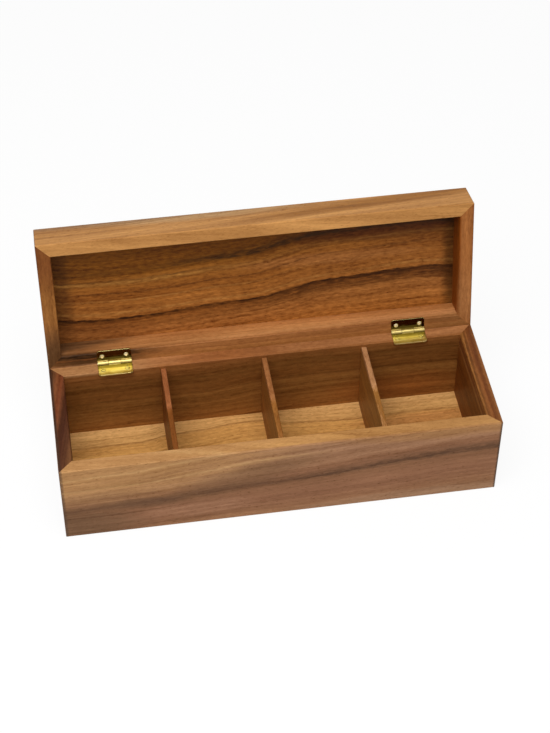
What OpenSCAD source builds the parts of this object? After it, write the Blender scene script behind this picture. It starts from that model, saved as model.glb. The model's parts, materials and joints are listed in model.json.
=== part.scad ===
// Hinged wooden tea bag box: a mitred tray with three fixed dividers, and a
// shallow mitred lid that turns on two small brass butt hinges.
//
// Millimetres. +X runs to the right, +Y to the back and +Z up, from an origin
// at the middle of the underside. The lid is drawn open, against its stop.
//
// The body and the lid are the same tray at two heights. A tray stands on
// z = 0 with its panel at the bottom and its rim at the top, and the lid is
// such a tray turned over.

/* [Box] */
// Length over the end walls
box_l = 340; // [250:5:420]
// Depth from the front face to the back face
box_w = 111; // [85:1:150]
// Height of the body without the lid
body_h = 75; // [50:1:110]
// Thickness of the walls and of the lid's rails
wall_t = 11; // [8:0.5:15]
// Thickness of the bottom panel
bottom_t = 9; // [5:0.5:12]
// Radius of the eased long edges
edge_r = 0.8; // [0.4:0.1:1.2]
// Radius of the upright corners
corner_r = 1.2; // [0.6:0.1:2.5]

/* [Dividers] */
// Thickness of each divider
divider_t = 4.2; // [3:0.2:8]
// How far the dividers' tops lie below the rim
divider_drop = 3; // [2.5:0.5:20]
// Depth of the stopped dadoes that hold the dividers' ends
dado_depth = 3; // [1.5:0.5:5]

/* [Lid] */
// Height from the lid's rim to its top
lid_h = 27.5; // [18:0.5:40]
// Thickness of the lid's panel
lid_panel_t = 7.5; // [4:0.5:10]
// Angle at which the bevels along the back stop the lid
open_angle = 103; // [95:1:115]
// Gap between the two rims when the lid is shut
rim_gap = 0.3; // [0.2:0.1:0.6]
// How far the hinge axis lies in front of the back face
axis_inset = 1.2; // [0.6:0.1:2]

/* [Joinery] */
// Width of the rabbets that the two panels sit in
rabbet_w = 6; // [3:0.5:7]

/* [Hinges] */
// Length of a leaf
hinge_l = 27; // [20:1:40]
// Distance from each end of the box to the middle of its hinge
hinge_end = 52; // [35:0.5:80]
// Thickness of the leaves, which are rolled around the pin
leaf_t = 1.2; // [0.8:0.1:2]
// How far the body's leaf reaches past the inner edge of the rim
body_leaf_overhang = 3.4; // [0:0.1:4.5]
// How far the lid's leaf reaches past the inner edge of the rim
lid_leaf_overhang = 1.4; // [0:0.1:4]
// Radius of a leaf's free corners
leaf_corner_r = 2; // [0.5:0.1:4]
// Length of the middle knuckle, which belongs to the body's leaf
middle_knuckle_l = 9.6; // [6:0.2:14]
// Diameter of the pin
pin_d = 1.8; // [1.2:0.1:3]

/* [Screws] */
// Length of a screw under the leaf
screw_l = 8; // [5:0.5:14]
// Diameter of the shank
screw_d = 1.7; // [1.2:0.1:2.4]
// Diameter of the head
head_d = 3.5; // [2.8:0.1:4.4]
// Rise of the domed top of the head
head_rise = 0.25; // [0.1:0.05:0.4]
// Distance from a leaf's free edge to a screw's centre
screw_edge = 5.2; // [4:0.1:6]
// Distance from the leaf's end to a screw's centre
screw_end = 4; // [3:0.1:6]
// Length of the cross recess in a head
drive_l = 2; // [1.4:0.1:2.6]
// Width of each arm of the cross recess
drive_w = 0.45; // [0.3:0.05:0.7]
// Depth of the cross recess below the leaf's face
drive_depth = 0.6; // [0.3:0.05:0.8]

/* [Fits] */
// Clearance around the panels in their rabbets
panel_fit = 0.1; // [0:0.05:0.3]
// Clearance around the dividers in their dadoes
dado_fit = 0.1; // [0:0.05:0.3]
// Clearance at the ends of a leaf in its mortise
mortise_fit = 0.15; // [0.05:0.05:0.4]
// Radial clearance of the pin in the knuckles
pin_fit = 0.05; // [0.02:0.01:0.1]
// Radial clearance of the shank in its pilot hole, and of the head in the leaf
screw_fit = 0.05; // [0.02:0.01:0.1]
// Clearance between neighbouring knuckles
knuckle_gap = 0.2; // [0.1:0.05:0.4]
// Clearance between a knuckle and what turns round it
barrel_clear = 0.3; // [0.2:0.05:0.6]
// Distance between the two leaves when the lid is shut
leaf_gap = 0.2; // [0.1:0.05:0.3]
// Distance between the two stop bevels when the lid is open
stop_gap = 0.06; // [0.04:0.02:0.2]

/* [Hidden] */
$fn = 48;

over = 1;                    // how far cutting shapes run past what they cut
inner_l = box_l - 2 * wall_t;
inner_w = box_w - 2 * wall_t;

compartments = 4;
compartment_l = (inner_l - (compartments - 1) * divider_t) / compartments;
divider_h = body_h - divider_drop - bottom_t;

axis_y = box_w / 2 - axis_inset;
axis_over_rim = rim_gap / 2;
hinge_x = box_l / 2 - hinge_end;

bore_r = pin_d / 2 + pin_fit;
knuckle_r = bore_r + leaf_t;
outer_knuckle_l = (hinge_l - middle_knuckle_l) / 2 - knuckle_gap;
axis_to_inner_face = wall_t - axis_inset;
body_leaf_w = axis_to_inner_face + body_leaf_overhang;
lid_leaf_w = axis_to_inner_face + lid_leaf_overhang;
leaf_under = leaf_gap / 2 + leaf_t;      // from the axis to a leaf's seat
screw_x = hinge_l / 2 - screw_end;
head_sink = 0.05;            // how far a head's crown lies below the leaf's face
bevel_reach = axis_inset / cos(open_angle / 2) + over;

golden_wood = [0.72, 0.50, 0.28];
brown_wood = [0.48, 0.28, 0.14];
red_wood = [0.58, 0.32, 0.17];
pale_wood = [0.69, 0.51, 0.34];
brass = [0.86, 0.70, 0.32];
bright_brass = [0.90, 0.80, 0.58];

// ---------------------------------------------------------------------------
// Shapes that the pieces share

// A rectangle from the origin, with its four corners rounded
module rounded_rect(w, h, r) {
    translate([r, 0]) square([w - 2 * r, h]);
    translate([0, r]) square([w, h - 2 * r]);
    for (x = [r, w - r], y = [r, h - r]) translate([x, y]) circle(r);
}

// Cross-section of a tray's board: x runs inwards from its outer face
module board_profile(height, panel_t) {
    difference() {
        rounded_rect(wall_t, height, edge_r);
        translate([wall_t - rabbet_w, -over])
            square([rabbet_w + over, panel_t + over]);
    }
}

// One mitred board of a tray, along the front of a rectangle length by width
module board(length, width, height, panel_t) {
    mitre = length / 2 - wall_t;
    intersection() {
        translate([0, -width / 2, 0]) rotate([90, 0, 90])
            linear_extrude(length, center = true)
                board_profile(height, panel_t);
        translate([0, -width / 2, 0]) linear_extrude(height)
            polygon([[-length / 2, 0], [length / 2, 0],
                     [mitre, wall_t], [-mitre, wall_t]]);
        translate([-length / 2, -width / 2, 0]) linear_extrude(height)
            rounded_rect(length, width, corner_r);
    }
}

// What the stop bevel takes off a tray along the top of its back. The body's
// bevel and the lid's come together when the lid has turned by open_angle.
module stop_bevel(height) {
    translate([-box_l / 2 - over, axis_y, height + axis_over_rim])
        rotate([-open_angle / 2, 0, 0])
            translate([0, -over, -stop_gap / 2])
                cube([box_l + 2 * over, over + bevel_reach, axis_inset + over]);
}

// What both hinges take out of a tray's back board
module hinge_recesses(height, leaf_w) {
    for (x = [-hinge_x, hinge_x])
        translate([x, axis_y, height + axis_over_rim]) hinge_recess(leaf_w);
}

module tray_front(height, panel_t)
    board(box_l, box_w, height, panel_t);

// leaf_w is the width of the leaves that the board carries
module tray_back(height, panel_t, leaf_w) {
    difference() {
        rotate(180) board(box_l, box_w, height, panel_t);
        stop_bevel(height);
        hinge_recesses(height, leaf_w);
    }
}

// side is -1 for the left end and 1 for the right end
module tray_end(side, height, panel_t) {
    difference() {
        rotate(side * 90) board(box_w, box_l, height, panel_t);
        stop_bevel(height);
    }
}

// The panel that closes a tray, flush with its underside
module tray_panel(panel_t) {
    panel_l = inner_l + 2 * (rabbet_w - panel_fit);
    panel_w = inner_w + 2 * (rabbet_w - panel_fit);
    translate([-panel_l / 2, -panel_w / 2, 0])
        cube([panel_l, panel_w, panel_t]);
}

// ---------------------------------------------------------------------------
// Places

// Takes a shape drawn round the hinge axis to the body
module at_body_axis() translate([0, axis_y, body_h + axis_over_rim]) children();

// Takes a shape drawn round the hinge axis, as it is on the body, to the lid
module at_lid_axis()
    at_body_axis() rotate([-open_angle, 0, 0]) mirror([0, 0, 1]) children();

// Takes a tray that stands on z = 0 to its place as the lid
module as_lid()
    at_lid_axis() translate([0, -axis_y, -lid_h - axis_over_rim]) children();

// ---------------------------------------------------------------------------
// Body

// i counts the dividers from the left, from 0
function divider_x(i) =
    -inner_l / 2 + (i + 1) * compartment_l + (i + 0.5) * divider_t;

// A divider seen from the front, standing on the bottom panel, with room
// round it
module divider_outline(room) {
    translate([-divider_t / 2 - room, bottom_t])
        square([divider_t + 2 * room, divider_h + room]);
}

module divider(i) {
    length = inner_w + 2 * (dado_depth - dado_fit);
    color(i == 1 ? golden_wood : i == 0 ? red_wood : pale_wood)
        translate([divider_x(i), 0, 0]) rotate([90, 0, 0])
            linear_extrude(length, center = true)
                intersection() {
                    divider_outline(0);
                    translate([-divider_t / 2, 0])
                        rounded_rect(divider_t, bottom_t + divider_h, edge_r);
                }
}

// The three dadoes, as wide as the tray inside and dado_depth more each way
module dadoes() {
    for (i = [0 : compartments - 2])
        translate([divider_x(i), 0, 0]) rotate([90, 0, 0])
            linear_extrude(inner_w + 2 * dado_depth, center = true)
                divider_outline(dado_fit);
}

module body_front_wall() {
    color(golden_wood) difference() {
        tray_front(body_h, bottom_t);
        dadoes();
    }
}

module body_back_wall() {
    color(brown_wood) difference() {
        tray_back(body_h, bottom_t, body_leaf_w);
        dadoes();
    }
}

module body_left_wall() color(red_wood) tray_end(-1, body_h, bottom_t);

module body_right_wall() color(brown_wood) tray_end(1, body_h, bottom_t);

module bottom_panel() color(golden_wood) tray_panel(bottom_t);

// ---------------------------------------------------------------------------
// Lid

module lid_front_rail() color(golden_wood) as_lid() tray_front(lid_h, lid_panel_t);

module lid_back_rail()
    color(red_wood) as_lid() tray_back(lid_h, lid_panel_t, lid_leaf_w);

module lid_left_rail() color(red_wood) as_lid() tray_end(-1, lid_h, lid_panel_t);

module lid_right_rail() color(golden_wood) as_lid() tray_end(1, lid_h, lid_panel_t);

module lid_panel() color(brown_wood) as_lid() tray_panel(lid_panel_t);

// ---------------------------------------------------------------------------
// Hinges, drawn round the axis: x runs along it, the leaf reaches to -y, and
// the wood that carries it lies below

// A round bar along the axis, from x0 to x1
module bar(x0, x1, r) translate([x0, 0, 0]) rotate([0, 90, 0]) cylinder(h = x1 - x0, r = r);

module middle_knuckle(r, grow = 0)
    bar(-middle_knuckle_l / 2 - grow, middle_knuckle_l / 2 + grow, r);

module outer_knuckles(r, grow = 0) {
    inner_end = hinge_l / 2 - outer_knuckle_l;
    bar(-hinge_l / 2 - grow, -inner_end + grow, r);
    bar(inner_end - grow, hinge_l / 2 + grow, r);
}

// A leaf's outline, with its two free corners rounded
module leaf_outline(leaf_w) {
    r = leaf_corner_r;
    translate([-hinge_l / 2, r - leaf_w]) square([hinge_l, leaf_w - r]);
    translate([r - hinge_l / 2, -leaf_w]) square([hinge_l - 2 * r, leaf_w]);
    for (side = [-1, 1])
        translate([side * (hinge_l / 2 - r), r - leaf_w]) circle(r);
}

// The flat of a leaf, with room for the knuckles of the other leaf
module leaf_plate(leaf_w) {
    difference() {
        translate([0, 0, -leaf_under]) linear_extrude(leaf_t) leaf_outline(leaf_w);
        children();
    }
}

// A screw's outline turned round its own axis, grown for the hole that it fits
module screw_shape(grow) {
    rotate_extrude() {
        polygon([[0, -head_sink - head_rise],
                 [head_d / 2 + grow, -head_sink - head_rise],
                 [screw_d / 2 + grow, -leaf_t],
                 [screw_d / 2 + grow, -leaf_t - screw_l + screw_d],
                 [0, -leaf_t - screw_l]]);
    }
}

// Places a shape at both screws of a leaf, at the height of the leaf's face
module at_screws(leaf_w) {
    for (side = [-1, 1])
        translate([side * screw_x, screw_edge - leaf_w, -leaf_gap / 2]) children();
}

// The holes of the two screws, open above their heads
module screw_holes(leaf_w) {
    at_screws(leaf_w) {
        screw_shape(screw_fit);
        translate([0, 0, -head_sink - head_rise])
            cylinder(h = head_sink + head_rise + over, d = head_d + 2 * screw_fit);
    }
}

module body_leaf() {
    color(brass) difference() {
        union() {
            leaf_plate(body_leaf_w)
                outer_knuckles(knuckle_r + barrel_clear, knuckle_gap);
            middle_knuckle(knuckle_r);
        }
        middle_knuckle(bore_r, over);
        screw_holes(body_leaf_w);
    }
}

module lid_leaf() {
    color(brass) difference() {
        union() {
            leaf_plate(lid_leaf_w)
                middle_knuckle(knuckle_r + barrel_clear, knuckle_gap);
            outer_knuckles(knuckle_r);
        }
        outer_knuckles(bore_r, over);
        screw_holes(lid_leaf_w);
    }
}

// The pin ends flush with the outer knuckles, with its ends eased
module hinge_pin() {
    ease = pin_d / 8;
    color(brass) rotate([0, 90, 0]) rotate_extrude()
        polygon([[0, -hinge_l / 2], [pin_d / 2 - ease, -hinge_l / 2],
                 [pin_d / 2, ease - hinge_l / 2],
                 [pin_d / 2, hinge_l / 2 - ease],
                 [pin_d / 2 - ease, hinge_l / 2], [0, hinge_l / 2]]);
}

// A countersunk wood screw with a low crown and a cross recess
module screw() {
    crown_r = (pow(head_d / 2, 2) + pow(head_rise, 2)) / (2 * head_rise);
    difference() {
        union() {
            screw_shape(0);
            translate([0, 0, -head_sink - head_rise])
                rotate_extrude() intersection() {
                    translate([0, head_rise - crown_r]) circle(crown_r);
                    square([head_d / 2, head_rise]);
                }
        }
        for (turn = [0, 90])
            rotate(turn) translate([-drive_l / 2, -drive_w / 2, -drive_depth])
                cube([drive_l, drive_w, drive_depth]);
    }
}

module body_screws() color(bright_brass) at_screws(body_leaf_w) screw();

module lid_screws() color(bright_brass) at_screws(lid_leaf_w) screw();

// Mortise for a leaf, room for the barrel, and the two screws' pilot holes
module hinge_recess(leaf_w) {
    length = hinge_l + 2 * mortise_fit;
    translate([-length / 2, -axis_to_inner_face - over, -leaf_under])
        cube([length, axis_to_inner_face + over, leaf_under + over]);
    bar(-length / 2, length / 2, knuckle_r + barrel_clear);
    screw_holes(leaf_w);
}

// side is -1 for the left hinge and 1 for the right hinge
module on_body(side) at_body_axis() translate([side * hinge_x, 0, 0]) children();

module on_lid(side) at_lid_axis() translate([side * hinge_x, 0, 0]) children();

// ---------------------------------------------------------------------------

body_front_wall();
body_back_wall();
body_left_wall();
body_right_wall();
bottom_panel();
divider(0);  // divider_left
divider(1);  // divider_middle
divider(2);  // divider_right
lid_front_rail();
lid_back_rail();
lid_left_rail();
lid_right_rail();
lid_panel();
on_body(-1) body_leaf();  // left_hinge_body_leaf
on_lid(-1) lid_leaf();  // left_hinge_lid_leaf
on_lid(-1) hinge_pin();  // left_hinge_pin
on_body(-1) body_screws();  // left_hinge_body_screws
on_lid(-1) lid_screws();  // left_hinge_lid_screws
on_body(1) body_leaf();  // right_hinge_body_leaf
on_lid(1) lid_leaf();  // right_hinge_lid_leaf
on_lid(1) hinge_pin();  // right_hinge_pin
on_body(1) body_screws();  // right_hinge_body_screws
on_lid(1) lid_screws();  // right_hinge_lid_screws
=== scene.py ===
"""The looks of a hinged wooden tea bag box: boards with their own grain, and small brass hinges."""
import json
import math
from typing import NamedTuple

import bpy
from mathutils import Matrix, Vector


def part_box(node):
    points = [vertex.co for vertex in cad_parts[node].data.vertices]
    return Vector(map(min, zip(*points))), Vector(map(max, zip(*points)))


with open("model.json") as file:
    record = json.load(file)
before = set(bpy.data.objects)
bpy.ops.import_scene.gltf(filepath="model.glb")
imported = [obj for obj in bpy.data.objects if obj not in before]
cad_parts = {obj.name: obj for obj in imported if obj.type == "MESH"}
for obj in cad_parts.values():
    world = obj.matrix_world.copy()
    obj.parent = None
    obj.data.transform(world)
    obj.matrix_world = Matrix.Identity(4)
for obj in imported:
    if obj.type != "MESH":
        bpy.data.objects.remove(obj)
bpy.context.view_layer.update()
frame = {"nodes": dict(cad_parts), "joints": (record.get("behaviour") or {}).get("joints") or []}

NODES = frame["nodes"]
MM = 0.001

RIGHT = Vector((1, 0, 0))
BACK = Vector((0, 1, 0))
UP = Vector((0, 0, 1))

# The lid's own directions at rest, where it stands open by the joint's whole range
HINGE = frame["joints"][0]
AXIS = Vector(HINGE["pos_m"])
OPEN_ANGLE = math.radians(max(HINGE["range_deg"]))
LID_OUT = Vector((0, -math.cos(OPEN_ANGLE), math.sin(OPEN_ANGLE)))     # from the hinges to the far edge
LID_DEEP = Vector((0, math.sin(OPEN_ANGLE), math.cos(OPEN_ANGLE)))     # from the rim to the lid's top

# ---------------------------------------------------------------------------
# Camera

CAMERA_AT = Vector((-0.1490, -0.9474, 1.0765))
CAMERA_AZIMUTH = math.radians(9.03)
CAMERA_ELEVATION = math.radians(45.32)
CAMERA_ROLL = math.radians(0.32)
CAMERA_LENS_MM = 87.77
CAMERA_REACH = 20.0         # metres


def add_camera():
    """The camera looks CAMERA_AZIMUTH to the right of +Y and CAMERA_ELEVATION down."""
    data = bpy.data.cameras.new("camera")
    data.lens = CAMERA_LENS_MM
    data.clip_end = CAMERA_REACH
    camera = bpy.data.objects.new("camera", data)
    aim = (Matrix.Rotation(-CAMERA_AZIMUTH, 4, "Z")
           @ Matrix.Rotation(math.pi / 2 - CAMERA_ELEVATION, 4, "X")
           @ Matrix.Rotation(CAMERA_ROLL, 4, "Z"))
    camera.matrix_world = Matrix.Translation(CAMERA_AT) @ aim
    bpy.context.scene.collection.objects.link(camera)
    bpy.context.scene.camera = camera


add_camera()

# ---------------------------------------------------------------------------
# Node trees

DARKEST = (0.2, 0.15, 0.1)      # the least that shade() leaves of red, green and blue


def colour(code):
    """The linear colour of a six-digit hexadecimal sRGB code."""
    def linear(c):
        return c / 12.92 if c <= 0.04045 else ((c + 0.055) / 1.055) ** 2.4
    return tuple(linear(int(code[i:i + 2], 16) / 255) for i in (0, 2, 4)) + (1.0,)


class Tree:
    """Short names for making a node tree.

    node() returns a new node, and every other method returns a socket. Values may be
    sockets or plain numbers and vectors.
    """

    def __init__(self, tree):
        self.tree = tree
        tree.nodes.clear()

    def node(self, kind, inputs=(), **settings):
        """A node with its settings and inputs: a socket is linked, and anything else is a value."""
        made = self.tree.nodes.new(kind)
        for name, value in settings.items():
            setattr(made, name, value)
        for name, value in dict(inputs).items():
            if isinstance(value, bpy.types.NodeSocket):
                self.tree.links.new(value, made.inputs[name])
            else:
                made.inputs[name].default_value = value
        return made

    def math(self, operation, *values):
        """A Math node on numbers and sockets."""
        return self.node("ShaderNodeMath", enumerate(values), operation=operation).outputs[0]

    def add(self, *values):
        """The sum of two or more numbers and sockets."""
        total = values[0]
        for value in values[1:]:
            total = self.math("ADD", total, value)
        return total

    def times(self, a, b):
        """The product of two numbers or sockets."""
        return self.math("MULTIPLY", a, b)

    def centred(self, noise):
        """A noise with 0 as its middle."""
        return self.math("SUBTRACT", noise, 0.5)

    def place(self):
        """The place on the object at rest, in metres."""
        return self.node("ShaderNodeTexCoord").outputs["Object"]

    def vector(self, x, y, z):
        """A vector from three numbers or sockets."""
        return self.node("ShaderNodeCombineXYZ", {"X": x, "Y": y, "Z": z}).outputs[0]

    def vector_math(self, operation, *vectors):
        """A Vector Math node on vectors and sockets: a length or dot product is a number."""
        made = self.node("ShaderNodeVectorMath", enumerate(vectors), operation=operation)
        return made.outputs["Value" if operation in ("LENGTH", "DOT_PRODUCT") else "Vector"]

    def map_range(self, interpolation, value, low, high, to_low, to_high):
        """value taken from low..high to to_low..to_high, and held beyond."""
        inputs = {"Value": value, "From Min": low, "From Max": high, "To Min": to_low, "To Max": to_high}
        return self.node("ShaderNodeMapRange", inputs, interpolation_type=interpolation).outputs[0]

    def line(self, value, low, high, to_low, to_high):
        """map_range in a straight line."""
        return self.map_range("LINEAR", value, low, high, to_low, to_high)

    def ramp(self, value, low, high, to_low=0.0, to_high=1.0):
        """map_range with smooth ends."""
        return self.map_range("SMOOTHSTEP", value, low, high, to_low, to_high)

    def curve(self, value, points):
        """A smooth curve through points, held beyond its ends."""
        low_x, high_x = points[0][0], points[-1][0]
        low_y = min(y for x, y in points)
        high_y = max(max(y for x, y in points), low_y + 1)
        spots = [((x - low_x) / (high_x - low_x), (y - low_y) / (high_y - low_y)) for x, y in points]
        share = self.line(value, low_x, high_x, 0.0, 1.0)
        made = self.node("ShaderNodeFloatCurve", {"Value": share})
        drawn = made.mapping.curves[0].points
        for spot in spots[1:-1]:
            drawn.new(*spot)
        drawn[0].location = spots[0]
        drawn[len(drawn) - 1].location = spots[-1]
        made.mapping.update()
        return self.line(made.outputs[0], 0.0, 1.0, low_y, high_y)

    def colours(self, value, stops):
        """The colour at a value, between stops of a value and a colour code."""
        low, high = stops[0][0], stops[-1][0]
        made = self.node("ShaderNodeValToRGB", {"Fac": self.line(value, low, high, 0.0, 1.0)})
        made.color_ramp.interpolation = "EASE"
        made.color_ramp.elements[0].color = colour(stops[0][1])
        made.color_ramp.elements[1].color = colour(stops[-1][1])
        for at, code in stops[1:-1]:
            made.color_ramp.elements.new((at - low) / (high - low)).color = colour(code)
        return made.outputs["Color"]

    def tinted(self, paint, factor, code):
        """paint mixed with a colour code by factor."""
        made = self.node("ShaderNodeMix", {"Factor": factor}, data_type="RGBA")
        # A Mix node's colour sockets share their names with its other sockets, so they go by number
        self.tree.links.new(paint, made.inputs[6])
        made.inputs[7].default_value = colour(code)
        return made.outputs[2]

    def shade(self, paint, tone, weights):
        """paint made lighter or darker: tone 0 leaves it, and the weights are for red, green and blue."""
        factor = self.vector_math("MULTIPLY_ADD", tone, weights, (1, 1, 1))
        return self.vector_math("MULTIPLY", paint, self.vector_math("MAXIMUM", factor, DARKEST))

    def noise(self, vector, detail=2.0, roughness=0.5):
        """Fractal noise from 0 to 1 with a feature size of 1."""
        inputs = {"Vector": vector, "Scale": 1.0, "Detail": detail, "Roughness": roughness}
        return self.node("ShaderNodeTexNoise", inputs).outputs["Fac"]


# ---------------------------------------------------------------------------
# Wood

# Lengths in the wood, in millimetres
STRAIGHT = ((0, 0), (400, 0))       # a flow along the grain with no bend
FAN_LENGTH = 340                    # the length over which fanning growth lines spread
SEED_SPACING = 17                   # the depth of noise between one whole seed and the next
FEATHER = 2.4                       # how far the growth lines feather
PORE_DEPTH = 0.12

# How much each kind of mark makes the wood lighter or darker
CLOUDS = 0.7
GROWTH = 1.3
CURLS = 0.7
FIBRES = 0.35
PORES = -0.28
WOOD_WEIGHTS = (1.0, 1.2, 1.45)     # darker marks are redder too, and lighter marks paler

# The surface
PORE_RANGE = (0.66, 0.8)            # the part of the fleck noise over which a pore forms
FIBRE_HEIGHT = 0.4                  # the height of the fibres, in pore depths
WOOD_RELIEF = 0.3                   # the strength of the bump that fibres and pores make
PORE_ROUGHNESS = 0.5                # how much pores add to the fibres in the roughness
ROUGH_RANGE = (0.2, 1.2)            # the part of that sum over which the roughness grows
SATIN = (0.42, 0.62)                # the least and the most roughness
WOOD_GLOSS = 0.12                   # the specular level

# The edges of patches and the weak stretches of streaks
PATCH_RIPPLE = 0.9                  # how ragged a patch's edge is
PATCH_EDGE = 1.4                    # where a patch has faded, as a square of its half size
BREAK_RANGE = (0.3, 0.6)            # the part of the noise over which a streak comes back
BREAK_LEAST = 0.45                  # what is left of a streak where it is weakest


class Layer(NamedTuple):
    """Another colour that the wood takes on from the depth begin, and wholly from the depth full."""

    begin: float
    full: float
    tint: str


class Patch(NamedTuple):
    """A cloud of another colour, which reaches strength in its middle.

    at is the u and v of its middle, and half is its half length and half height. For each
    millimetre of u it moves by lean against v, and depth is how far it goes into the wood.
    """

    at: tuple
    half: tuple
    tint: str
    strength: float = 0.8
    lean: float = 0.0
    depth: float = 100


class Streak(NamedTuple):
    """A line of another colour along the growth line s = at, which fades over above and below.

    It reaches strength where u = full, and only faint times that where u = begin, whichever
    of the two comes first.
    """

    at: float
    above: float
    below: float
    tint: str
    strength: float = 0.8
    begin: float = -2.0
    full: float = -1.0
    faint: float = 0.25


class Board:
    """A board's own coordinates, in millimetres: u along the grain, v across the face, w into the wood."""

    def __init__(self, origin, along, across):
        self.origin = origin
        self.axes = (along, across, along.cross(across))

    def coordinates(self, tree):
        """Sockets for u, v and w."""
        away = tree.vector_math("SUBTRACT", tree.place(), self.origin)
        return [tree.vector_math("DOT_PRODUCT", away, axis / MM) for axis in self.axes]


class Grain:
    """The places in a board's wood, as sockets, and noise in marks that follow them.

    u, v and w are the board's coordinates. s numbers its growth lines: it is the same all
    along a line, and grows by 1 for each millimetre across the face and by slope for each
    millimetre into the wood. flow gives the points of the line s = 0, which sway moves
    aside here and there. With fan, the lines spread towards the far end.
    """

    def __init__(self, tree, board, seed, flow, fan, slope, sway):
        self.tree = tree
        self.seed = seed
        self.u, self.v, self.w = board.coordinates(tree)
        self.deep = tree.add(self.w, seed * SEED_SPACING)
        wander = tree.centred(self.marks(self.v, length=90, width=40, detail=1.0))
        feather = tree.centred(self.marks(self.v, length=6, width=1.1))
        bend = tree.times(tree.curve(self.u, flow), -1.0)
        from_flow = tree.add(self.v, tree.times(self.w, slope), bend, tree.times(wander, sway))
        spread = tree.line(self.u, 0, FAN_LENGTH, 1.0, 1.0 - fan)
        self.s = tree.add(tree.times(from_flow, spread), tree.times(feather, FEATHER))

    def marks(self, across, length, width, cut=None, detail=2.0, roughness=0.5):
        """Noise from 0 to 1 in marks of a length and a width in millimetres; across is v or s.

        The marks are as deep as they are wide. Given the number of a cut through the noise,
        they go all the way into the wood.
        """
        tree = self.tree
        if cut is None:
            cut = tree.times(self.deep, 1 / width)
        place = tree.vector(tree.times(self.u, 1 / length), tree.times(across, 1 / width), cut)
        return tree.noise(place, detail, roughness)

    def patch_strength(self, patch):
        """The strength of a patch at a place: it fades from its middle to a ragged edge."""
        tree = self.tree
        from_u = tree.add(self.u, -patch.at[0])
        from_v = tree.add(self.v, -patch.at[1], tree.times(from_u, patch.lean))
        out = (tree.times(from_u, 1 / patch.half[0]), tree.times(from_v, 1 / patch.half[1]),
               tree.times(self.w, 1 / patch.depth))
        ripple = tree.centred(self.marks(self.v, length=30, width=3, cut=patch.at[0]))
        away = tree.add(*[tree.times(part, part) for part in out], tree.times(ripple, PATCH_RIPPLE))
        return tree.ramp(away, 0.0, PATCH_EDGE, patch.strength, 0.0)

    def streak_strength(self, streak):
        """The strength of a streak at a place: it is a thin line with weak stretches."""
        tree = self.tree
        away = tree.add(self.s, -streak.at)
        rise = tree.ramp(away, -streak.above, 0.0)
        fall = tree.ramp(away, 0.0, streak.below, 1.0, 0.0)
        weakest = streak.faint * streak.strength
        along = tree.ramp(self.u, streak.begin, streak.full, weakest, streak.strength)
        breaks = self.marks(self.s, length=9, width=1.6, cut=self.seed + streak.at)
        unbroken = tree.ramp(breaks, *BREAK_RANGE, BREAK_LEAST, 1.0)
        return tree.times(tree.times(tree.times(rise, fall), along), unbroken)

    def colours(self, bands, layers, patches, streaks):
        """The colours of the wood before its figure: each of these lies over the ones before it."""
        tree = self.tree
        paint = tree.colours(self.s, bands)
        for layer in layers:
            paint = tree.tinted(paint, tree.ramp(self.w, layer.begin, layer.full), layer.tint)
        for patch in patches:
            paint = tree.tinted(paint, self.patch_strength(patch), patch.tint)
        for streak in streaks:
            paint = tree.tinted(paint, self.streak_strength(streak), streak.tint)
        return paint

    def figure(self, lines, threads, figure):
        """How much lighter or darker the clouds, the growth lines, the finest lines and the curls are."""
        tree = self.tree
        # Marks that go all the way into the wood have a cut of their own through the noise
        clouds = self.marks(self.s, length=70, width=13, cut=self.seed)
        growth = self.marks(self.s, length=190, width=3.2, cut=self.seed + 3, detail=3.0, roughness=0.65)
        fine = self.marks(self.s, length=40, width=0.9, cut=self.seed + 7, roughness=0.6)
        curls = self.marks(self.v, length=5, width=1.8, roughness=0.6)
        return tree.add(tree.times(tree.centred(clouds), CLOUDS * lines),
                        tree.times(tree.centred(growth), GROWTH * lines),
                        tree.times(tree.centred(fine), threads),
                        tree.times(tree.centred(curls), CURLS * figure))


def wood(node, board, seed, bands, flow=STRAIGHT, fan=0.0, slope=0.55, sway=6.0,
         layers=(), patches=(), streaks=(), lines=1.0, threads=0.45, figure=1.0):
    """Covers a CAD node with a satin wood, which is rougher along its fibres and in its sunken pores.

    Its growth lines lie as Grain says. bands are its colours at given s, and the layers,
    patches and streaks lie over them. lines, threads and figure are the strengths of its
    growth lines, of its finest lines and of its curls. seed keeps its noise apart from
    other boards'.
    """
    material = bpy.data.materials.new(node)
    material.use_nodes = True
    t = Tree(material.node_tree)
    grain = Grain(t, board, seed, flow, fan, slope, sway)
    fibres = grain.marks(grain.s, length=9, width=0.4, roughness=0.6)
    pores = t.ramp(grain.marks(grain.s, length=3.2, width=0.45, detail=0.0), *PORE_RANGE)

    tone = t.add(grain.figure(lines, threads, figure), t.times(t.centred(fibres), FIBRES),
                 t.times(pores, PORES))
    paint = t.shade(grain.colours(bands, layers, patches, streaks), tone, WOOD_WEIGHTS)
    rough = t.ramp(t.add(fibres, t.times(pores, PORE_ROUGHNESS)), *ROUGH_RANGE, *SATIN)
    height = t.add(t.times(fibres, FIBRE_HEIGHT), t.times(pores, -1.0))
    bump = t.node("ShaderNodeBump", {"Height": height, "Strength": WOOD_RELIEF, "Distance": PORE_DEPTH * MM})
    shader = t.node("ShaderNodeBsdfPrincipled", {"Base Color": paint, "Roughness": rough,
                                                 "Specular IOR Level": WOOD_GLOSS,
                                                 "Normal": bump.outputs[0]})
    t.node("ShaderNodeOutputMaterial", {"Surface": shader.outputs[0]})
    cover(node, material)


def cover(node, material):
    """Puts a material on a CAD node in place of its own."""
    for slot in NODES[node].material_slots:
        slot.material = material


# ---------------------------------------------------------------------------
# The body's boards

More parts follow.
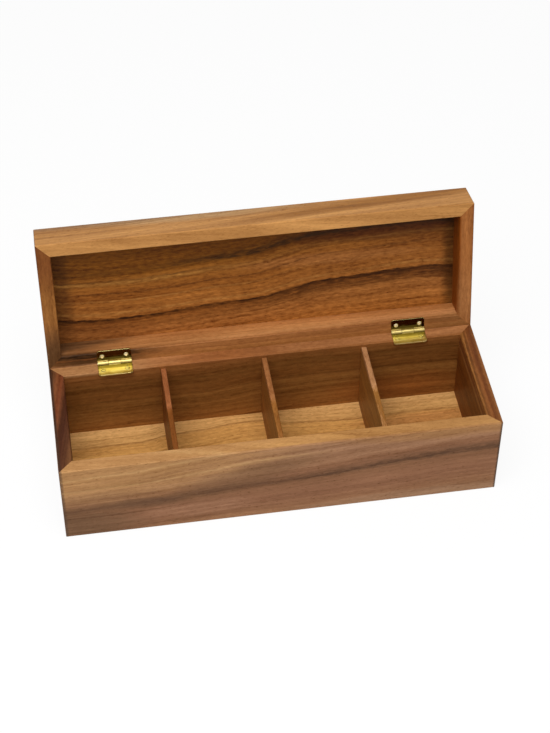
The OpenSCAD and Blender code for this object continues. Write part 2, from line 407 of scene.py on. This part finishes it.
LEFT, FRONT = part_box("body_front_wall")[0].xy
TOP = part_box("body_front_wall")[1].z
RIGHT_END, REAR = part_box("body_back_wall")[1].x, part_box("body_back_wall")[1].y
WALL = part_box("body_front_wall")[1].y - FRONT


def cover_front_wall():
    """A dark band rises to the right between yellow wood above and red wood below; the ends are darkened by
    painted shade.
    """
    wood("body_front_wall", Board(Vector((LEFT, FRONT, TOP)), RIGHT, -UP), seed=1.3,
         bands=[(-50, "A47858"), (-16, "A67856"), (-7, "9A6A49"), (0, "8C6040"), (14, "946546"),
                (40, "A2744E")],
         flow=[(0, 49), (33, 48), (60, 47), (87, 44.5), (110, 42.5), (135, 40), (160, 39.5), (185, 38.5),
               (210, 37), (235, 34), (260, 32), (290, 30), (340, 27)],
         fan=0.2,
         layers=[Layer(0.2, 2.5, "C28E52"),
                 Layer(10.2, 10.8, "7E4C22")],
         patches=[Patch(at=(0, 2), half=(190, 41), tint="B88754", strength=1.0),
                  Patch(at=(300, 0), half=(90, 10), tint="AE7C48", strength=0.7),
                  Patch(at=(140, 28), half=(64, 14), tint="7A5639", strength=0.6, lean=0.25),
                  Patch(at=(0, 66), half=(66, 22), tint="705034"),
                  Patch(at=(30, 36), half=(45, 10), tint="8C6442", strength=0.4),
                  Patch(at=(60, 45), half=(36, 6), tint="6A4A32", strength=0.6),
                  Patch(at=(105, 58), half=(45, 9), tint="AC7C5C", strength=0.6),
                  Patch(at=(300, 75), half=(120, 11), tint="AC8464"),
                  # The two thin dark strips at the ends are painted shade on the wall's edges
                  Patch(at=(0, 37), half=(2.2, 200), tint="5A4432", strength=0.7),
                  Patch(at=(340, 37), half=(2.4, 200), tint="4A3628", strength=0.9)],
         streaks=[Streak(at=-1, above=10, below=3, tint="5A3C26", strength=0.85, begin=150, full=220,
                         faint=0.6),
                  Streak(at=-24, above=2, below=2, tint="C89E68", strength=0.45, begin=230, full=130,
                         faint=0.0),
                  Streak(at=-31, above=1.5, below=2, tint="96683E", strength=0.4),
                  Streak(at=-38, above=2, below=2, tint="C89E68", strength=0.4)],
         lines=0.7, figure=0.5)


def cover_back_wall():
    """Brown, with thin dark lines; its rim and its back are paler than its inner face."""
    wood("body_back_wall", Board(Vector((LEFT, REAR - WALL, TOP)), RIGHT, -UP), seed=2.7,
         bands=[(-10, "9E623A"), (0, "925A2C"), (14, "855426"), (26, "845224"), (38, "94622E"),
                (75, "94602C")],
         flow=[(0, 4), (120, 2), (220, -3), (340, 3)],
         layers=[Layer(0.2, 2.5, "A0693E")],
         patches=[Patch(at=(24, -2), half=(60, 5), tint="AC7A4C", strength=0.9),
                  Patch(at=(140, -2), half=(46, 5), tint="8A5128"),
                  Patch(at=(280, 50), half=(60, 16), tint="93501E", strength=0.5)],
         streaks=[Streak(at=30, above=1, below=3, tint="5E3814", strength=0.5),
                  Streak(at=14, above=1, below=2, tint="6A4218", strength=0.4)])


def cover_left_wall():
    """Dark brown and red bands run aslant over its inner face and its rim."""
    wood("body_left_wall", Board(Vector((LEFT + WALL, FRONT, TOP)), BACK, -UP), seed=3.1,
         bands=[(-16, "7E502A"), (-12, "6C4426"), (-8, "5A341E"), (-4, "4A2614"), (-1.5, "44220F"),
                (0.8, "6E3E24"), (3, "84482A"), (6, "7E4828"), (10, "664026"), (15, "583822"),
                (75, "7A4A28")],
         flow=[(0, 16), (111, -3)], slope=1.0, sway=2.0,
         layers=[Layer(8.4, 10.2, "40281A"),
                 Layer(10.8, 11, "6E4426")],
         lines=1.2, figure=0.7)


def cover_right_wall():
    """Narrow lines of light and dark run along its rim."""
    wood("body_right_wall", Board(Vector((RIGHT_END - WALL, REAR, TOP)), -BACK, -UP), seed=4.9,
         bands=[(0, "94602E"), (1.5, "905C2C"), (2.5, "6A3E18"), (4.5, "865026"), (7, "6C3A18"),
                (12, "8E5A2E"), (15, "6C3A12"), (75, "744016")],
         flow=[(0, 2), (40, -0.3), (111, -0.3)], slope=1.0, sway=1.5,
         lines=1.3)


def cover_bottom_panel():
    """The palest board, with three darker lines that bend along it."""
    wood("bottom_panel", Board(Vector((LEFT, REAR - WALL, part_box("bottom_panel")[1].z)), RIGHT, -BACK),
         seed=5.2,
         bands=[(-20, "D4A264"), (-2, "D09C5C"), (4, "CC9450"), (110, "CC9858")],
         flow=[(0, 16), (60, 18), (85, 14), (120, 11), (155, 8), (185, 14), (230, 17), (340, 17)],
         patches=[Patch(at=(300, 25), half=(60, 7), tint="C4844A", strength=0.7)],
         streaks=[Streak(at=0, above=1, below=2.5, tint="8A5A2A", strength=0.7),
                  Streak(at=-7, above=1, below=1.5, tint="A8783E", strength=0.4, begin=170, full=60),
                  Streak(at=6, above=1, below=2, tint="A8743C", strength=0.5)],
         lines=0.8, figure=0.8)


def cover_dividers():
    """The three dividers are of three different boards, each with a top edge in another tone."""
    tones = {"divider_left": ("7E481C", "9C5E36"),
             "divider_middle": ("96602A", "A0683C"),
             "divider_right": ("92602A", "B88458")}
    for number, (node, (face, top)) in enumerate(tones.items()):
        low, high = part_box(node)
        wood(node, Board(Vector((low.x, high.y, high.z)), -BACK, -UP), seed=6.1 + number,
             bands=[(-8, top), (0.5, top), (2, face), (66, face)],
             flow=[(0, 0), (30, 3), (60, -2), (100, 2)], slope=0.2)


cover_front_wall()
cover_back_wall()
cover_left_wall()
cover_right_wall()
cover_bottom_panel()
cover_dividers()

# ---------------------------------------------------------------------------
# The lid's boards


def lid_point(x, out, deep):
    """A point of the lid at rest: its place along the box, and how far it is from the axis and the rim."""
    return Vector((x, AXIS.y, AXIS.z)) + LID_OUT * out + LID_DEEP * deep


def lid_distances(node, direction):
    """The distances of a lid node's points from the hinge axis, along one of the lid's directions."""
    return [(point.co - AXIS).dot(direction) for point in NODES[node].data.vertices]


LID_EDGE = max(lid_distances("lid_front_rail", LID_OUT))
LID_TOP = max(lid_distances("lid_front_rail", LID_DEEP))
LID_INSIDE = min(lid_distances("lid_panel", LID_DEEP))


def cover_lid_front_rail():
    """The palest rail of the lid, greyer at its left end and brown along the right half."""
    wood("lid_front_rail", Board(lid_point(LEFT, LID_EDGE, LID_TOP), RIGHT, -LID_DEEP), seed=7.4,
         bands=[(-8, "B07A44"), (12, "B57F46"), (36, "BF874B")],
         flow=[(0, 4), (60, 2), (120, -4), (220, -14), (340, -20)], slope=-0.6,
         patches=[Patch(at=(265, 10), half=(120, 8), tint="925E28", strength=1.0, lean=0.09),
                  Patch(at=(120, 3), half=(90, 8), tint="BC9466"),
                  Patch(at=(20, -3), half=(120, 9), tint="8E6C4E", strength=0.75)],
         lines=0.9, figure=0.4)


def cover_lid_back_rail():
    """Orange, with a dark left end and a dark band that fades to the right along its rim."""
    wood("lid_back_rail", Board(lid_point(LEFT, WALL, LID_INSIDE), RIGHT, -LID_DEEP), seed=8.8,
         bands=[(-10, "A66C3C"), (4, "AE723F"), (12, "C0844E"), (17, "BE8450"), (22, "AA6C3A"),
                (34, "A26A36")],
         slope=1.0, sway=2.0,
         patches=[Patch(at=(0, 3), half=(70, 11), tint="5A3A20", strength=1.0),
                  Patch(at=(8, 14), half=(46, 7), tint="6A4A30", strength=0.7),
                  Patch(at=(36, 22), half=(46, 5), tint="3E2612", strength=0.85),
                  Patch(at=(70, 14), half=(70, 6), tint="A06838", strength=0.5),
                  Patch(at=(300, 12), half=(70, 4), tint="B0764A", strength=0.5),
                  Patch(at=(340, 21), half=(60, 5), tint="6E4824", strength=0.5)],
         streaks=[Streak(at=23, above=6, below=8, tint="2E1A0A", strength=1.0, begin=110, full=50,
                         faint=0.1),
                  Streak(at=30.5, above=1.5, below=2, tint="B8845A", strength=0.45, begin=100, full=50,
                         faint=0.0),
                  Streak(at=26, above=1.2, below=1.2, tint="8A5228", strength=0.6)],
         lines=0.7, figure=0.8)


def cover_lid_left_rail():
    """Dark by the hinges, yellow in the middle and red by the far edge."""
    wood("lid_left_rail", Board(lid_point(LEFT + WALL, 0, 0), LID_OUT, LID_DEEP), seed=9.5,
         bands=[(-12, "8C5830"), (0, "8A562C"), (6, "905A30"), (12, "80502A"), (30, "7A4A26")],
         patches=[Patch(at=(56, 0), half=(30, 30), tint="98622C"),
                  Patch(at=(0, 0), half=(36, 60), tint="5A3A1E", strength=0.95),
                  Patch(at=(100, 0), half=(34, 40), tint="784218", strength=0.7)])


def cover_lid_right_rail():
    """Darker on its inner face than on its rim, which is paler by the hinges."""
    wood("lid_right_rail", Board(lid_point(RIGHT_END - WALL, LID_EDGE, 0), -LID_OUT, LID_DEEP), seed=10.6,
         bands=[(-12, "7C4010"), (24, "7E4010")],
         layers=[Layer(0.2, 2.5, "985C2C")],
         patches=[Patch(at=(110, 0), half=(56, 6), tint="A0683A", strength=0.6)])


def cover_lid_panel():
    """The most figured board: two dark wavy lines, with thin pale and dark ones between them; its ends are
    darkened on the inner face by painted shade.
    """
    wood("lid_panel", Board(lid_point(LEFT + WALL, LID_EDGE - WALL, LID_INSIDE), RIGHT, -LID_OUT),
         seed=11.2,
         bands=[(-70, "7A460F"), (-39, "804B12"), (-34, "8A531C"), (-20, "945821"), (-1, "9C5F28"),
                (2, "8A4F1E"), (14, "A0632E"), (40, "A2642A")],
         flow=[(0, 67.8), (27, 70.7), (58, 71.1), (89, 69.6), (124, 66.7), (156, 64.4), (178, 60),
               (196, 56), (213, 53.3), (240, 51.6), (267, 50.7), (318, 52.2)],
         patches=[Patch(at=(265, 15), half=(90, 9), tint="5E300C", strength=1.0),
                  Patch(at=(215, 36), half=(80, 6), tint="A86C3A", strength=0.45),
                  Patch(at=(50, 50), half=(70, 6), tint="844A18", strength=0.5),
                  # These two clouds at the ends of the inner face are painted shade where the panel meets
                  # the side rails
                  Patch(at=(0, 50), half=(14, 80), tint="502E10", strength=0.6, depth=4),
                  Patch(at=(318, 50), half=(10, 80), tint="3E2208", depth=4),
                  Patch(at=(20, 84), half=(70, 12), tint="7A441C", strength=0.6)],
         streaks=[Streak(at=2.5, above=2.5, below=15, tint="44240C", strength=0.9, begin=110, full=210,
                         faint=0.3),
                  Streak(at=0.5, above=1, below=4, tint="341804", strength=1.0),
                  Streak(at=-40, above=9, below=3, tint="38200A", strength=0.95, begin=60, full=140,
                         faint=0.35),
                  Streak(at=-33, above=1, below=1.5, tint="4E2E10", strength=0.7, begin=190, full=90),
                  Streak(at=-31, above=3, below=3, tint="AE7838", strength=0.7, begin=170, full=70),
                  Streak(at=-22, above=0.8, below=1.5, tint="6A401A", strength=0.55),
                  Streak(at=-15, above=1.2, below=1.2, tint="B88244", strength=0.4, begin=250, full=120),
                  Streak(at=-4, above=2, below=2, tint="B47E40", strength=0.4)],
         threads=0.8, figure=1.8)


cover_lid_front_rail()
cover_lid_back_rail()
cover_lid_left_rail()
cover_lid_right_rail()
cover_lid_panel()

# ---------------------------------------------------------------------------
# Brass

BARREL_EDGE = (2.2, 2.8)                # millimetres from the axis over which barrel turns to leaf
STAIN_SCALE = (160, 260, 260)           # stains for each metre along the hinge and across it
STAIN_TONE = 0.6                        # how much a stain makes the brass lighter or darker
STAIN_WEIGHTS = (1.0, 1.1, 1.6)         # darker stains are yellower too
STAIN_RANGE = (0.3, 0.7)                # the part of the stain noise over which the roughness grows
STAIN_ROUGHNESS = (-0.02, 0.04)
SCRATCH_SCALE = (400, 6000, 6000)       # scratches for each metre along the hinge and across it
SCRATCH_ROUGHNESS = 0.06
SCRATCH_RELIEF = 0.15                   # the strength of the bump that scratches make
SCRATCH_DEPTH = 0.01                    # millimetres
EDGE_SAMPLES = 6


def brass(name, tones, barrel_roughness, leaf_roughness, edge):
    """A polished brass with faint scratches and stains.

    tones are its colours at distances in millimetres from the hinge's axis, and in the leaves they hold
    painted shade and painted highlights; its roughness goes from the barrel's to the leaf's.
    edge, in millimetres.
    """
    material = bpy.data.materials.new(name)
    material.use_nodes = True
    t = Tree(material.node_tree)
    place = t.place()
    across = t.vector_math("MULTIPLY", t.vector_math("SUBTRACT", place, AXIS), (0, 1 / MM, 1 / MM))
    reach = t.vector_math("LENGTH", across)
    stains = t.noise(t.vector_math("MULTIPLY", place, STAIN_SCALE))
    scratches = t.noise(t.vector_math("MULTIPLY", place, SCRATCH_SCALE))

    paint = t.shade(t.colours(reach, tones), t.times(t.centred(stains), STAIN_TONE), STAIN_WEIGHTS)
    rough = t.add(t.ramp(reach, *BARREL_EDGE, barrel_roughness, leaf_roughness),
                  t.ramp(stains, *STAIN_RANGE, *STAIN_ROUGHNESS),
                  t.times(t.centred(scratches), SCRATCH_ROUGHNESS))
    edges = t.node("ShaderNodeBevel", {"Radius": edge * MM}, samples=EDGE_SAMPLES)
    bump = t.node("ShaderNodeBump", {"Height": scratches, "Strength": SCRATCH_RELIEF,
                                     "Distance": SCRATCH_DEPTH * MM, "Normal": edges.outputs[0]})
    shader = t.node("ShaderNodeBsdfPrincipled", {"Base Color": paint, "Metallic": 1.0,
                                                 "Roughness": rough, "Normal": bump.outputs[0]})
    t.node("ShaderNodeOutputMaterial", {"Surface": shader.outputs[0]})
    return material


def body_leaf_brass():
    """Darker by the barrel, where shade is painted, and brightest in the middle of the leaf, where a
    highlight is painted; a paler painted highlight runs along its free edge.
    """
    return brass("body_leaf_brass", barrel_roughness=0.32, leaf_roughness=0.31, edge=0.4,
                 # Painted shade from 2.6 to 5 mm, a painted highlight around 9.5 mm and a paler painted
                 # highlight at the edge
                 tones=[(2.0, "C0AC6C"), (2.6, "8A7E36"), (5.0, "92843A"), (7.0, "DCCE76"),
                        (9.5, "FFF4A0"), (11.5, "E4D472"), (14, "DCCC90")])


def lid_leaf_brass():
    """The leaf is polished like a mirror, with a dark line of painted shade by the barrel."""
    return brass("lid_leaf_brass", barrel_roughness=0.34, leaf_roughness=0.06, edge=0.5,
                 # The dark stops at 3.2 and 4.6 mm are painted shade
                 tones=[(2.0, "AE9A5E"), (2.3, "B8A468"), (3.2, "4E4224"), (4.6, "4E4224"),
                        (6, "B8A86C"), (14, "B8A86C")])


def screw_brass():
    """Pale, and nearly the same all over."""
    return brass("screw_brass", barrel_roughness=0.36, leaf_roughness=0.36, edge=0.25,
                 tones=[(2.0, "F6E8C8"), (14, "F0E0B8")])


def cover_hinges():
    """The body's screws are of their leaf's brass, and the lid's are paler than their leaf."""
    body_leaf, lid_leaf, screw = body_leaf_brass(), lid_leaf_brass(), screw_brass()
    for side in ("left", "right"):
        cover(f"{side}_hinge_body_leaf", body_leaf)
        cover(f"{side}_hinge_lid_leaf", lid_leaf)
        cover(f"{side}_hinge_pin", lid_leaf)
        cover(f"{side}_hinge_body_screws", body_leaf)
        cover(f"{side}_hinge_lid_screws", screw)


cover_hinges()

# ---------------------------------------------------------------------------
# Floor, light and background

WHITE = (1, 1, 1, 1)
FLOOR_HALF = 6.0                        # metres from the middle of the floor to its sides
FLOOR_COLOUR = (0.86, 0.86, 0.86, 1)
FLOOR_SHARE = 0.88                      # how much of what the camera sees of the floor is plain white
FLOOR_WHITE = 1.03                      # the strength of that white
WORLD_LIGHT = 0.30                      # the strength of the world as a light
WORLD_WHITE = 0.97                      # and as a background
LAMP_AIM = Vector((0, 0, 0.05))         # a point inside the box


def seen(t):
    """1 for what the camera or a reflection sees, and 0 for the light that falls on the object."""
    path = t.node("ShaderNodeLightPath").outputs
    return t.math("MAXIMUM", path["Is Camera Ray"], path["Is Glossy Ray"])


def add_floor():
    """A pale floor that looks white, and keeps a faint shadow of the box."""
    mesh = bpy.data.meshes.new("floor")
    r = FLOOR_HALF
    mesh.from_pydata([(-r, -r, 0), (r, -r, 0), (r, r, 0), (-r, r, 0)], [], [(0, 1, 2, 3)])
    floor = bpy.data.objects.new("floor", mesh)
    bpy.context.scene.collection.objects.link(floor)
    material = bpy.data.materials.new("floor")
    material.use_nodes = True
    t = Tree(material.node_tree)
    lit = t.node("ShaderNodeBsdfDiffuse", {"Color": FLOOR_COLOUR}).outputs[0]
    white = t.node("ShaderNodeEmission", {"Color": WHITE, "Strength": FLOOR_WHITE}).outputs[0]
    mixed = t.node("ShaderNodeMixShader", {"Fac": t.times(seen(t), FLOOR_SHARE), 1: lit, 2: white})
    t.node("ShaderNodeOutputMaterial", {"Surface": mixed.outputs[0]})
    mesh.materials.append(material)


def add_world():
    """Even light from all round, which the camera sees as white."""
    world = bpy.data.worlds.new("world")
    world.use_nodes = True
    bpy.context.scene.world = world
    t = Tree(world.node_tree)
    strength = t.ramp(seen(t), 0, 1, WORLD_LIGHT, WORLD_WHITE)
    back = t.node("ShaderNodeBackground", {"Color": WHITE, "Strength": strength})
    t.node("ShaderNodeOutputWorld", {"Surface": back.outputs[0]})


def add_lamp(name, at, size, watts):
    """A square soft lamp that the camera doesn't see, turned towards the box."""
    data = bpy.data.lights.new(name, "AREA")
    data.shape = "SQUARE"
    data.size = size
    data.energy = watts
    lamp = bpy.data.objects.new(name, data)
    lamp.location = at
    lamp.visible_camera = False
    lamp.rotation_euler = (LAMP_AIM - Vector(at)).to_track_quat("-Z", "Y").to_euler()
    bpy.context.scene.collection.objects.link(lamp)


add_floor()
add_world()
add_lamp("key_lamp", at=(-0.2, -0.45, 1.2), size=1.0, watts=14.0)
bpy.context.scene.view_settings.view_transform = "Standard"
